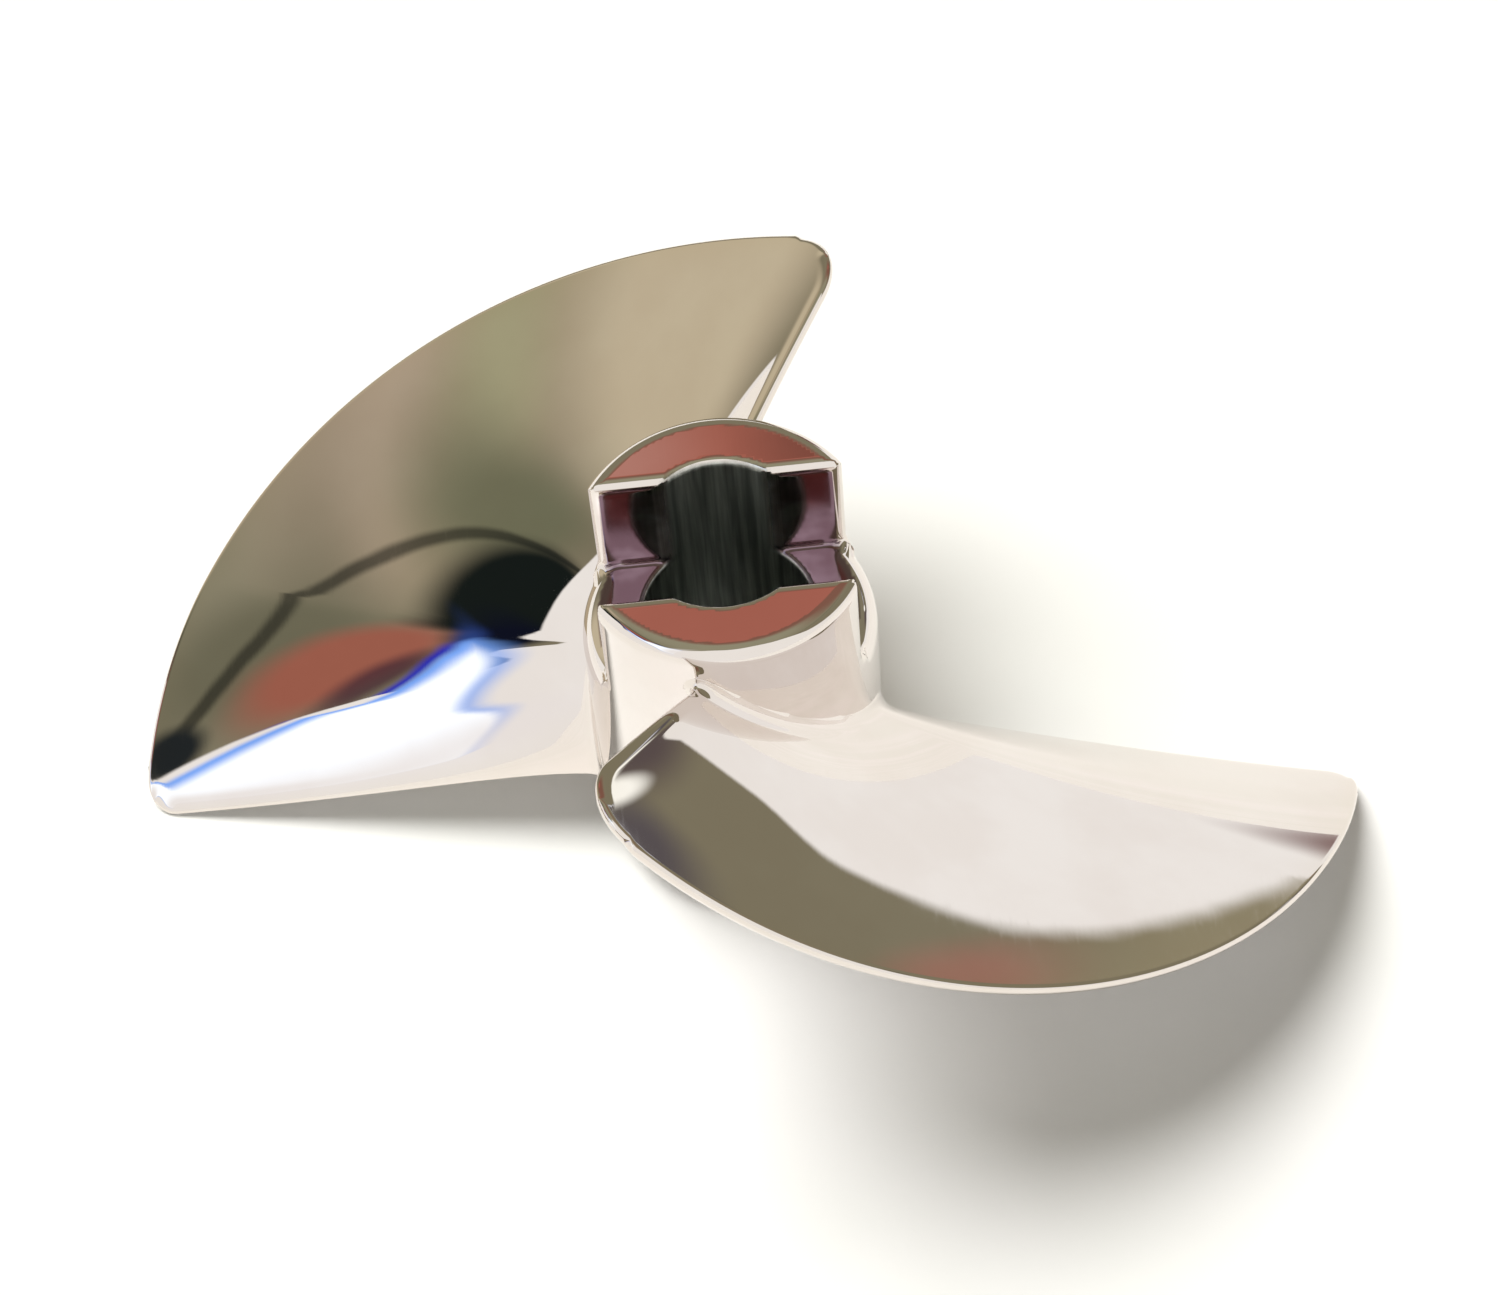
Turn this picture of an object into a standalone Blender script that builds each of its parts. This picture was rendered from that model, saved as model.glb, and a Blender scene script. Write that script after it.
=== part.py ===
"""Two-blade propeller for a radio-control boat: a slotted hub and two left-handed blades.

The shaft line is +Z, with the drive-dog slot at the top, and the blade corners touch Z = 0.
Angles run anticlockwise seen from the slot end, from +X, which is the direction of the slot.
"""

import math

import bmesh
import bpy
import numpy as np

MM = 0.001

# Hub, in millimetres
HUB_RADIUS = 4.2
HUB_LENGTH = 13.0
HUB_TOP = 13.523
BORE_RADIUS = 2.4
BORE_CHAMFER = 0.25
RIM_ROUND = 0.5
FOOT_ROUND = 0.8
HUB_SEGMENTS = 128

# Drive-dog slot
SLOT_WIDTH = 3.8
SLOT_DEPTH = 3.7
SLOT_LIP = 0.3

# Blade outline, seen from the slot end
OUTLINE_CENTRE = (4.9, 0.9)
OUTLINE_RADIUS = 13.6
NOSE_ROOT_ANGLE = 257.0
NOSE_CORNER = (-4.5, -8.75)
NOSE_CORNER_ROUND = 1.7
TAIL_ROOT_ANGLE = 365.5
TAIL_CORNER = (18.32, -1.5)
TAIL_CORNER_ROUND = 0.9

# Blade surface: how far it lies below the rim of the hub
MIDDLE_ANGLE = 300.0
MIDDLE_RADIUS = 10.0
MIDDLE_DROP = 5.27
LEAD = 37.1
LEAD_GROWTH = 2.05
LEAD_EASE = 0.0002
RAKE = 0.0114
DISH = 0.0083
CUP_ANGLE = 335.0
CUP = 0.0026

# Blade thickness: nearly all of it lies behind the smooth slot side
THICKNESS = 0.5
ROOT_THICKNESS = 1.25
ROOT_REACH = 8.0
END_REACH = 3.5
SLOT_SIDE_SHARE = 0.15
LEADING_ROUND = 0.15
NOSE_ROUND = 0.3
TAIL_ROUND = 0.5
FAR_SIDE_ROUND = 0.5
ROOT_FILLET = 0.4
ROOT_GAP = 0.03

RIBS = 62
STATIONS = 34
ROOT_STRIPS = 8


def arc_points(centre, radius, start, end, count):
    """Points on an arc, as (distance from the axis, height)."""
    angles = np.radians(np.linspace(start, end, count))
    return [(centre[0] + radius * math.cos(a), centre[1] + radius * math.sin(a)) for a in angles]


def hub_profile():
    """Half-section of the hub, from the rim down the outside, in along the foot and up the bore."""
    foot = HUB_TOP - HUB_LENGTH
    rim_centre = (HUB_RADIUS - RIM_ROUND, HUB_TOP - RIM_ROUND)
    foot_centre = (HUB_RADIUS - FOOT_ROUND, foot + FOOT_ROUND)
    outside = arc_points(rim_centre, RIM_ROUND, 90, 0, 5) + arc_points(foot_centre, FOOT_ROUND, 0, -90, 7)
    inside = [
        (BORE_RADIUS + BORE_CHAMFER, foot),
        (BORE_RADIUS, foot + BORE_CHAMFER),
        (BORE_RADIUS, HUB_TOP - BORE_CHAMFER),
        (BORE_RADIUS + BORE_CHAMFER, HUB_TOP),
    ]
    return outside + inside


def new_object(name, bm, collection):
    mesh = bpy.data.meshes.new(name)
    bm.to_mesh(mesh)
    bm.free()
    made = bpy.data.objects.new(name, mesh)
    collection.objects.link(made)
    return made


def turned(name, profile, collection):
    """A closed half-section turned round the shaft line."""
    bm = bmesh.new()
    corners = [bm.verts.new((x * MM, 0.0, z * MM)) for x, z in profile]
    for first, second in zip(corners, corners[1:] + corners[:1]):
        bm.edges.new((first, second))
    made = new_object(name, bm, collection)
    screw = made.modifiers.new("turn", "SCREW")
    screw.axis = "Z"
    screw.steps = HUB_SEGMENTS
    screw.render_steps = HUB_SEGMENTS
    screw.use_merge_vertices = True
    screw.merge_threshold = 0.000001
    screw.use_normal_calculate = True
    return made


def slot_cutter(collection):
    """A bar along +X with a flared mouth, which also breaks the long edges of the slot."""
    half = SLOT_WIDTH / 2
    floor = HUB_TOP - SLOT_DEPTH
    lip = arc_points((half + SLOT_LIP, HUB_TOP - SLOT_LIP), SLOT_LIP, 180, 90, 5)
    right = [(half, floor)] + lip + [(half + SLOT_LIP, HUB_TOP + 2.0)]
    section = right + [(-y, z) for y, z in reversed(right)]
    bm = bmesh.new()
    face = bm.faces.new([bm.verts.new((-8 * MM, y * MM, z * MM)) for y, z in section])
    grown = bmesh.ops.extrude_face_region(bm, geom=[face])
    moved = [item for item in grown["geom"] if isinstance(item, bmesh.types.BMVert)]
    bmesh.ops.translate(bm, verts=moved, vec=(16 * MM, 0, 0))
    bmesh.ops.recalc_face_normals(bm, faces=bm.faces[:])
    cutter = new_object("slot_cutter", bm, collection)
    cutter.hide_render = True
    cutter.display_type = "WIRE"
    return cutter


def rounded_corner(before, corner, after, radius, count):
    """Points round a plan corner of this radius, between the directions of its two neighbours."""
    corner = np.array(corner, float)
    back = np.array(before, float) - corner
    ahead = np.array(after, float) - corner
    back /= np.linalg.norm(back)
    ahead /= np.linalg.norm(ahead)
    half = math.acos(float(np.dot(back, ahead))) / 2
    middle = (back + ahead) / np.linalg.norm(back + ahead)
    centre = corner + middle * radius / math.sin(half)
    start = corner + back * radius / math.tan(half) - centre
    end = corner + ahead * radius / math.tan(half) - centre
    turns = np.linspace(0, 1, count)[:, None]
    swing = math.acos(float(np.dot(start, end)) / radius**2)
    return centre + (np.sin((1 - turns) * swing) * start + np.sin(turns * swing) * end) / math.sin(swing)


def evenly(points, shares):
    """Points at these shares of the length of a line."""
    steps = np.linalg.norm(np.diff(points, axis=0), axis=1)
    along = np.concatenate([[0], np.cumsum(steps)])
    along /= along[-1]
    return np.stack([np.interp(shares, along, points[:, i]) for i in range(2)], axis=1)


def outline_sides():
    """The nose, the swept outer edge and the tail of the blade in plan, from end to end."""
    root = HUB_RADIUS + ROOT_GAP
    nose_angle = math.radians(NOSE_ROOT_ANGLE)
    tail_angle = math.radians(TAIL_ROOT_ANGLE)
    nose_root = (root * math.cos(nose_angle), root * math.sin(nose_angle))
    tail_root = (root * math.cos(tail_angle), root * math.sin(tail_angle))
    centre = np.array(OUTLINE_CENTRE)
    first = np.array(NOSE_CORNER) - centre
    last = np.array(TAIL_CORNER) - centre
    sweep = np.linspace(math.atan2(first[1], first[0]), math.atan2(last[1], last[0]), 400)
    swept = centre + OUTLINE_RADIUS * np.stack([np.cos(sweep), np.sin(sweep)], axis=1)
    reach = np.linalg.norm(swept - swept[0], axis=1)
    after_nose = swept[np.searchsorted(reach, 2 * NOSE_CORNER_ROUND)]
    still_to_go = np.linalg.norm(swept[::-1] - swept[-1], axis=1)
    before_tail = swept[::-1][np.searchsorted(still_to_go, 2 * TAIL_CORNER_ROUND)]
    nose_turn = rounded_corner(nose_root, swept[0], after_nose, NOSE_CORNER_ROUND, 33)
    tail_turn = rounded_corner(before_tail, swept[-1], tail_root, TAIL_CORNER_ROUND, 33)
    inside = np.linalg.norm(swept - nose_turn[-1], axis=1) > 0.2
    inside &= np.linalg.norm(swept - tail_turn[0], axis=1) > 0.2
    inside &= reach > np.linalg.norm(nose_turn[-1] - swept[0])
    inside &= still_to_go[::-1] > np.linalg.norm(tail_turn[0] - swept[-1])
    nose = np.vstack([[nose_root], nose_turn[:17]])
    outer = np.vstack([nose_turn[16:], swept[inside], tail_turn[:17]])
    tail = np.vstack([[tail_root], tail_turn[16:][::-1]])
    return nose, outer, tail


def surface_height(radius, angle):
    """Height of the middle surface of the blade above the rim of the hub."""
    turn = angle - MIDDLE_ANGLE
    out = radius - MIDDLE_RADIUS
    lead = LEAD + LEAD_GROWTH * out
    cup = CUP * np.maximum(angle - CUP_ANGLE, 0) ** 2
    return -MIDDLE_DROP - lead * turn / 360 + LEAD_EASE * turn**2 - RAKE * out + DISH * out**2 - cup


def on_surface(plan):
    radius = np.hypot(plan[..., 0], plan[..., 1])
    angle = np.degrees(np.arctan2(plan[..., 1], plan[..., 0])) % 360
    angle = np.where(angle < 180, angle + 360, angle)
    height = HUB_TOP + surface_height(radius, angle)
    return np.concatenate([plan, height[..., None]], axis=-1)


def crowded(count, power_low, power_high):
    """Shares from 0 to 1 that crowd towards the ends by these amounts."""
    t = np.linspace(0, 1, count)
    low = t**power_low
    high = 1 - (1 - t) ** power_high
    return low * (1 - t) + high * t


def distance_to(points, edge):
    """Distance from each plan point to a plan line."""
    flat = points.reshape(-1, 1, 2)
    start = edge[None, :-1]
    step = edge[None, 1:] - start
    share = ((flat - start) * step).sum(-1) / (step * step).sum(-1)
    nearest = start + np.clip(share, 0, 1)[..., None] * step
    return np.linalg.norm(flat - nearest, axis=-1).min(axis=1).reshape(points.shape[:-1])


def blade_grid():
    """The blade surface over a grid of ribs from the root to the outer edge, and its free edges in plan."""
    nose, outer, tail = outline_sides()
    along = crowded(RIBS, 1.9, 1.9)
    out = crowded(STATIONS, 1.25, 2.2)
    angles = np.radians(NOSE_ROOT_ANGLE + (TAIL_ROOT_ANGLE - NOSE_ROOT_ANGLE) * along)
    root = (HUB_RADIUS + ROOT_GAP) * np.stack([np.cos(angles), np.sin(angles)], axis=1)
    far = evenly(outer, along)
    near_side = evenly(nose, out)
    far_side = evenly(tail, out)
    u = along[:, None, None]
    v = out[None, :, None]
    plan = (1 - v) * root[:, None] + v * far[:, None] + (1 - u) * near_side[None] + u * far_side[None]
    corners = (1 - u) * ((1 - v) * root[0] + v * far[0]) + u * ((1 - v) * root[-1] + v * far[-1])
    return on_surface(plan - corners), nose, outer, tail


def quarter_round(share):
    """Height of a quarter of a circle, from 0 at its foot to 1, where share is 1."""
    return np.sqrt(1 - (1 - np.clip(share, 0, 1)) ** 2)


def offsets(plan, nose, outer, tail):
    """How far the slot side and the far side lie from the surface."""
    to_nose = distance_to(plan, nose)
    to_outer = distance_to(plan, outer)
    to_tail = distance_to(plan, tail)
    to_ends = np.minimum(to_nose, to_tail)
    radius = np.hypot(plan[..., 0], plan[..., 1])
    root_share = np.clip(1 - (radius - HUB_RADIUS) / ROOT_REACH, 0, 1) ** 1.5
    from_ends = np.clip(to_ends / END_REACH, 0, 1)
    thickness = THICKNESS + (ROOT_THICKNESS - THICKNESS) * root_share * from_ends**2 * (3 - 2 * from_ends)
    rolled = np.minimum(to_outer / LEADING_ROUND, to_nose / NOSE_ROUND)
    slot_side = SLOT_SIDE_SHARE * quarter_round(np.minimum(rolled, to_tail / TAIL_ROUND))
    inward = np.minimum(to_ends, to_outer)
    far_side = (thickness - SLOT_SIDE_SHARE) * quarter_round(inward / FAR_SIDE_ROUND)
    off_hub = (radius - HUB_RADIUS - ROOT_GAP) / ROOT_FILLET
    fillet = ROOT_FILLET * (1 - quarter_round(off_hub)) * np.clip(inward / 0.9, 0, 1)
    return slot_side + fillet, far_side + fillet


def blade_faces():
    """Points of the slot side and of the far side of the blade."""
    middle, nose, outer, tail = blade_grid()
    normal = np.cross(np.gradient(middle, axis=1), np.gradient(middle, axis=0))
    normal /= np.linalg.norm(normal, axis=-1, keepdims=True)
    normal *= np.sign(normal[..., 2:3])
    least = HUB_RADIUS + ROOT_GAP
    faces = []
    for side, grown in zip((1, -1), offsets(middle[..., :2], nose, outer, tail)):
        points = middle + side * normal * grown[..., None]
        radius = np.hypot(points[..., 0], points[..., 1])
        scale = np.where(radius < least, least / radius, 1.0)
        scale[:, 0] = least / radius[:, 0]
        points[..., :2] *= scale[..., None]
        faces.append(points)
    return faces


def root_rows(bm, top, bottom):
    """Rows of points that follow the hub from the slot side of the root to the far side."""
    rows = []
    for first, last in zip(top, bottom):
        if first is last:
            rows.append([first] * (ROOT_STRIPS + 1))
            continue
        start, end = first.co, last.co
        start_angle = math.atan2(start.y, start.x)
        swing = (math.atan2(end.y, end.x) - start_angle + math.pi) % math.tau - math.pi
        radius = (HUB_RADIUS + ROOT_GAP) * MM
        row = [first]
        for k in range(1, ROOT_STRIPS):
            share = k / ROOT_STRIPS
            angle = start_angle + swing * share
            height = start.z + (end.z - start.z) * share
            row.append(bm.verts.new((radius * math.cos(angle), radius * math.sin(angle), height)))
        rows.append(row + [last])
    return rows


def blade(name, turn, collection):
    upper, lower = blade_faces()
    bm = bmesh.new()
    top = [[bm.verts.new(p * MM) for p in row] for row in upper]
    bottom = []
    for i, row in enumerate(lower):
        made = []
        for j, point in enumerate(row):
            on_edge = j == STATIONS - 1 or i in (0, RIBS - 1)
            made.append(top[i][j] if on_edge else bm.verts.new(point * MM))
        bottom.append(made)
    for i in range(RIBS - 1):
        for j in range(STATIONS - 1):
            bm.faces.new([top[i][j], top[i][j + 1], top[i + 1][j + 1], top[i + 1][j]])
            bm.faces.new([bottom[i + 1][j], bottom[i + 1][j + 1], bottom[i][j + 1], bottom[i][j]])
    rows = root_rows(bm, [row[0] for row in top], [row[0] for row in bottom])
    for row, after in zip(rows, rows[1:]):
        for k in range(ROOT_STRIPS):
            ring = list(dict.fromkeys([row[k], after[k], after[k + 1], row[k + 1]]))
            if len(ring) > 2:
                bm.faces.new(ring)
    bmesh.ops.recalc_face_normals(bm, faces=bm.faces[:])
    made = new_object(name, bm, collection)
    made.rotation_euler = (0, 0, turn)
    return made


def plated(name, colour, roughness):
    material = bpy.data.materials.new(name)
    material.use_nodes = True
    shader = material.node_tree.nodes["Principled BSDF"]
    shader.inputs["Base Color"].default_value = (*colour, 1.0)
    shader.inputs["Metallic"].default_value = 1.0
    shader.inputs["Roughness"].default_value = roughness
    return material


def finish(made, material):
    made.data.materials.append(material)
    made.data.shade_smooth()
    made.data.set_sharp_from_angle(angle=math.radians(35))


def main():
    for old in list(bpy.data.objects):
        bpy.data.objects.remove(old, do_unlink=True)
    propeller = bpy.data.collections.new("boat_propeller")
    cutters = bpy.data.collections.new("cutters")
    cutters.hide_render = True
    bpy.context.scene.collection.children.link(propeller)
    bpy.context.scene.collection.children.link(cutters)

    hub = turned("hub", hub_profile(), propeller)
    cut = hub.modifiers.new("slot", "BOOLEAN")
    cut.operation = "DIFFERENCE"
    cut.solver = "EXACT"
    cut.object = slot_cutter(cutters)
    finish(hub, plated("plated_hub", (0.86, 0.82, 0.81), 0.06))

    first = blade("blade_1", 0.0, propeller)
    finish(first, plated("plated_blade_1", (0.88, 0.84, 0.83), 0.04))
    second = blade("blade_2", math.pi, propeller)
    finish(second, plated("plated_blade_2", (0.88, 0.84, 0.83), 0.04))


main()
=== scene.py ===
# %% [markdown]
# # A chrome-plated two-blade boat propeller
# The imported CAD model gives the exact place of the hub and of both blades. Everything below is
# built around it, in metres, in the same frame: the shaft line is +Z, and the slot runs along X.

# %% Load the frame
import math

import bmesh
import bpy
import numpy as np
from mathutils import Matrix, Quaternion, Vector


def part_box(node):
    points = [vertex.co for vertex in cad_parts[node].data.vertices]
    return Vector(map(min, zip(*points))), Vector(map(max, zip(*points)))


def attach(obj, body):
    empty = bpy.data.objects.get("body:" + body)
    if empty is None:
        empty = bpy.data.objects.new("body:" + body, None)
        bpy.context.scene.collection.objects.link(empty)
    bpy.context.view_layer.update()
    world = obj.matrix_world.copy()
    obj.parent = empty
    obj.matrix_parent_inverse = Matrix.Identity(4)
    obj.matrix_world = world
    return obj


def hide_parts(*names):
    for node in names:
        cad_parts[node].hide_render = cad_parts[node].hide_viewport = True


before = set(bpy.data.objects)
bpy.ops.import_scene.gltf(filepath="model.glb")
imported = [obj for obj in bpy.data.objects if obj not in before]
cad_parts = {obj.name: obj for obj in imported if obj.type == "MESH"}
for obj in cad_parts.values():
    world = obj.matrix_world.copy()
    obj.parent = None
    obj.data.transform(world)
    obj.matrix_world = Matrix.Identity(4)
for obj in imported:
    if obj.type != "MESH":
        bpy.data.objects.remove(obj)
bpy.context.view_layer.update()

MM = 0.001

# %% [markdown]
# The hub of a real propeller like this is turned from bar or cast, drilled for the shaft, milled
# across for the drive dog, and polished before it is plated. Its outside sizes are measured from
# the CAD node. The bore and the slot are too small to read off a box, so they are named here.

# %% Sizes of the hub
hub_low, hub_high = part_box("hub")
HUB_RADIUS = (hub_high.x - hub_low.x) / 2 / MM
HUB_TOP = hub_high.z / MM
HUB_FOOT = hub_low.z / MM
BORE_RADIUS = 2.4
SLOT_WIDTH = 3.8
SLOT_DEPTH = 3.7
SLOT_FLOOR = HUB_TOP - SLOT_DEPTH
RIM_ROUND = 0.5
FOOT_ROUND = 0.8
SLOT_END_ROUND = 0.45
SLOT_TOP_ROUND = 0.3
SLOT_CORNER_FILL = 0.15
SLOT_FLOOR_END_ROUND = 0.9
BORE_TOP_ROUND = 0.22
BORE_SLOT_ROUND = 0.2
BORE_FOOT_ROUND = 0.25
print(f"hub: radius {HUB_RADIUS:.2f}, from {HUB_FOOT:.2f} to {HUB_TOP:.2f} mm")

# %% [markdown]
# Polishing rounds every edge a little, and a mirror finish shows that rounding as a bright line.
# One way to round edges is a bevel on a Boolean result, but bevels that are wider than the short
# edges beside them fold over. Here the solid is written as a distance: a function that is negative
# in the metal, zero on its skin and positive outside. Two such distances can be joined with a
# round edge of any radius, and the skin can be found as closely as needed.

# %% Joining distances with round edges
def both(first, second, radius):
    """Metal that is inside both shapes, with its outer edge rounded."""
    corner = np.hypot(np.maximum(first + radius, 0), np.maximum(second + radius, 0))
    return np.minimum(np.maximum(first, second), -radius) + corner


def either(first, second, radius):
    """Metal that is inside one shape or the other, with its inner corner filled."""
    return -both(-first, -second, radius)


def hub_distance(points):
    """Distance in millimetres from the skin of the hub, negative in the metal."""
    x, y, z = points.T
    radius = np.hypot(x, y)
    barrel = radius - HUB_RADIUS
    bore = BORE_RADIUS - radius
    top = z - HUB_TOP
    foot = HUB_FOOT - z
    slot_wall = SLOT_WIDTH / 2 - np.abs(y)
    slot_floor = z - SLOT_FLOOR
    slot = either(slot_wall, slot_floor, SLOT_CORNER_FILL)
    edges = [
        both(barrel, top, RIM_ROUND),
        both(barrel, foot, FOOT_ROUND),
        both(barrel, slot, SLOT_END_ROUND),
        both(top, slot, SLOT_TOP_ROUND),
        both(bore, top, BORE_TOP_ROUND),
        both(bore, slot, BORE_SLOT_ROUND),
        both(bore, foot, BORE_FOOT_ROUND),
        either(slot_wall, both(barrel, slot_floor, SLOT_FLOOR_END_ROUND), SLOT_CORNER_FILL),
    ]
    return np.max(edges, axis=0)


def outward(distance, points):
    """Unit direction away from the metal at each point."""
    step = 1e-4
    rises = [distance(points + step * axis) - distance(points - step * axis) for axis in np.eye(3)]
    slope = np.stack(rises, 1)
    return slope / np.linalg.norm(slope, axis=1, keepdims=True)


def settled(distance, points, passes=8):
    """The same points moved onto the skin."""
    for _ in range(passes):
        points = points - outward(distance, points) * distance(points)[:, None]
    return points

# %% [markdown]
# The mesh starts as the plain turned bar with its slot cut out by a Boolean. A voxel remesh then
# covers it with even little squares, and each corner of a square is moved onto the rounded skin.
# Its shading direction comes from the same function, so that reflections run smoothly.

# %% Raw hub
def mesh_object(name, bm):
    mesh = bpy.data.meshes.new(name)
    bm.to_mesh(mesh)
    bm.free()
    made = bpy.data.objects.new(name, mesh)
    bpy.context.scene.collection.objects.link(made)
    return made


def ring_solid(name, inner, outer, low, high, segments):
    """A tube with square edges round the shaft line."""
    bm = bmesh.new()
    section = [(inner, low), (outer, low), (outer, high), (inner, high)]
    rings = []
    for k in range(segments):
        turn = math.tau * k / segments
        cosine, sine = math.cos(turn), math.sin(turn)
        rings.append([bm.verts.new((r * cosine * MM, r * sine * MM, z * MM)) for r, z in section])
    for ring, after in zip(rings, rings[1:] + rings[:1]):
        for k in range(4):
            bm.faces.new([ring[k], after[k], after[(k + 1) % 4], ring[(k + 1) % 4]])
    bmesh.ops.recalc_face_normals(bm, faces=bm.faces[:])
    return mesh_object(name, bm)


def block(name, low, high):
    bm = bmesh.new()
    bmesh.ops.create_cube(bm, size=1)
    for vertex in bm.verts:
        vertex.co = [(a + b) / 2 * MM + share * (b - a) * MM for a, b, share in zip(low, high, vertex.co)]
    return mesh_object(name, bm)


def applied(made):
    """Replaces the object's mesh by what its modifiers make of it."""
    graph = bpy.context.evaluated_depsgraph_get()
    mesh = bpy.data.meshes.new_from_object(made.evaluated_get(graph))
    made.modifiers.clear()
    made.data = mesh
    return made


hub = ring_solid("hub_plated", BORE_RADIUS, HUB_RADIUS, HUB_FOOT, HUB_TOP, 256)
half_slot = SLOT_WIDTH / 2
cutter = block("slot_cutter", (-6, -half_slot, SLOT_FLOOR), (6, half_slot, HUB_TOP + 1))
cut = hub.modifiers.new("slot", "BOOLEAN")
cut.operation = "DIFFERENCE"
cut.solver = "EXACT"
cut.object = cutter
squares = hub.modifiers.new("squares", "REMESH")
squares.mode = "VOXEL"
squares.voxel_size = 0.11 * MM
applied(hub)
bpy.data.objects.remove(cutter)
print("raw hub:", len(hub.data.polygons), "squares")

# %% Round the hub
def points_of(mesh):
    found = np.empty(len(mesh.vertices) * 3)
    mesh.vertices.foreach_get("co", found)
    return found.reshape(-1, 3) / MM


def shade(mesh, directions):
    """Smooth shading with these directions at the vertices."""
    mesh.polygons.foreach_set("use_smooth", [True] * len(mesh.polygons))
    mesh.normals_split_custom_set_from_vertices(directions.tolist())


skin = settled(hub_distance, points_of(hub.data))
hub.data.vertices.foreach_set("co", (skin * MM).ravel())
shade(hub.data, outward(hub_distance, skin))
print("hub skin is within", round(float(np.abs(hub_distance(skin)).max()), 5), "mm of its rounded shape")

# %% [markdown]
# The finish has to know where the edges are, where the bore is, and how deep into the slot a point
# lies, for the painted shade there. All three are stored on the mesh, as a number from 0 to 1 at each
# vertex. A point is near an edge when it is near two faces at once.

# %% Marks for the finish
def mark(mesh, name, values):
    mesh.attributes.new(name, "FLOAT", "POINT").data.foreach_set("value", values.astype(np.float32))


def near_two_faces(points):
    x, y, z = points.T
    radius = np.hypot(x, y)
    in_slot_height = z > SLOT_FLOOR - 0.3
    wall = np.where(in_slot_height, np.abs(np.abs(y) - SLOT_WIDTH / 2), 9)
    slot_floor = np.where(np.abs(y) < SLOT_WIDTH / 2 + 0.3, np.abs(z - SLOT_FLOOR), 9)
    round_faces = [radius - HUB_RADIUS, radius - BORE_RADIUS]
    faces = [*round_faces, HUB_TOP - z, z - HUB_FOOT, wall, slot_floor]
    return np.sort(np.abs(faces), axis=0)[1]


mark(hub.data, "edge_nearness", np.exp(-((near_two_faces(skin) / 0.3) ** 2)))
skin_radius = np.hypot(skin[:, 0], skin[:, 1])
mark(hub.data, "bore_share", np.clip((BORE_RADIUS + 0.1 - skin_radius) / 0.09, 0, 1))
# how deep in the slot a point lies, for the painted shade there
depth = np.clip((HUB_TOP - 0.3 - skin[:, 2]) / 0.3, 0, 1) * (skin[:, 2] > SLOT_FLOOR - 0.1)
beside = (np.abs(skin[:, 1]) < SLOT_WIDTH / 2 + 0.06) * np.clip((HUB_RADIUS - 0.25 - skin_radius) / 0.3, 0, 1)
mark(hub.data, "slot_shade_share", depth * beside)
print("bore vertices:", int((skin_radius < BORE_RADIUS + 0.01).sum()))

# %% [markdown]
# Each blade is a thin, twisted, dished sheet. Its plan is an arc for the leading edge, a short
# blunt nose beside the hub and a long straight tail. The height follows a helix whose lead grows
# outwards, less a little rake and dish, and the tail is curled down to cup the water. The numbers
# are the same ones that the CAD part is built with, so that this skin lies where the CAD blade is.

# %% Plan of the blade
OUTLINE_CENTRE = np.array((4.9, 0.9))
OUTLINE_RADIUS = 13.6
NOSE_ROOT_ANGLE = 257.0
NOSE_CORNER = np.array((-4.5, -8.75))
NOSE_CORNER_ROUND = 1.7
TAIL_ROOT_ANGLE = 365.5
TAIL_CORNER = np.array((18.32, -1.5))
TAIL_CORNER_ROUND = 0.9
ROOT_RADIUS = HUB_RADIUS - 0.12


def polar(radius, degrees):
    angle = np.radians(degrees)
    return np.stack([radius * np.cos(angle), radius * np.sin(angle)], axis=-1)


def rounded_corner(before, corner, after, radius, count):
    """Plan points round a corner, between the directions of its two neighbours."""
    back = (before - corner) / np.linalg.norm(before - corner)
    ahead = (after - corner) / np.linalg.norm(after - corner)
    half = math.acos(float(back @ ahead)) / 2
    centre = corner + (back + ahead) / np.linalg.norm(back + ahead) * radius / math.sin(half)
    start = corner + back * radius / math.tan(half) - centre
    end = corner + ahead * radius / math.tan(half) - centre
    turns = np.linspace(0, 1, count)[:, None]
    swing = math.acos(float(start @ end) / radius**2)
    return centre + (np.sin((1 - turns) * swing) * start + np.sin(turns * swing) * end) / math.sin(swing)


def swept_edge():
    """The arc of the leading edge, from the nose corner to the tail corner."""
    first = NOSE_CORNER - OUTLINE_CENTRE
    last = TAIL_CORNER - OUTLINE_CENTRE
    sweep = np.linspace(math.atan2(first[1], first[0]), math.atan2(last[1], last[0]), 900)
    return OUTLINE_CENTRE + polar(OUTLINE_RADIUS, np.degrees(sweep))


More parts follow.
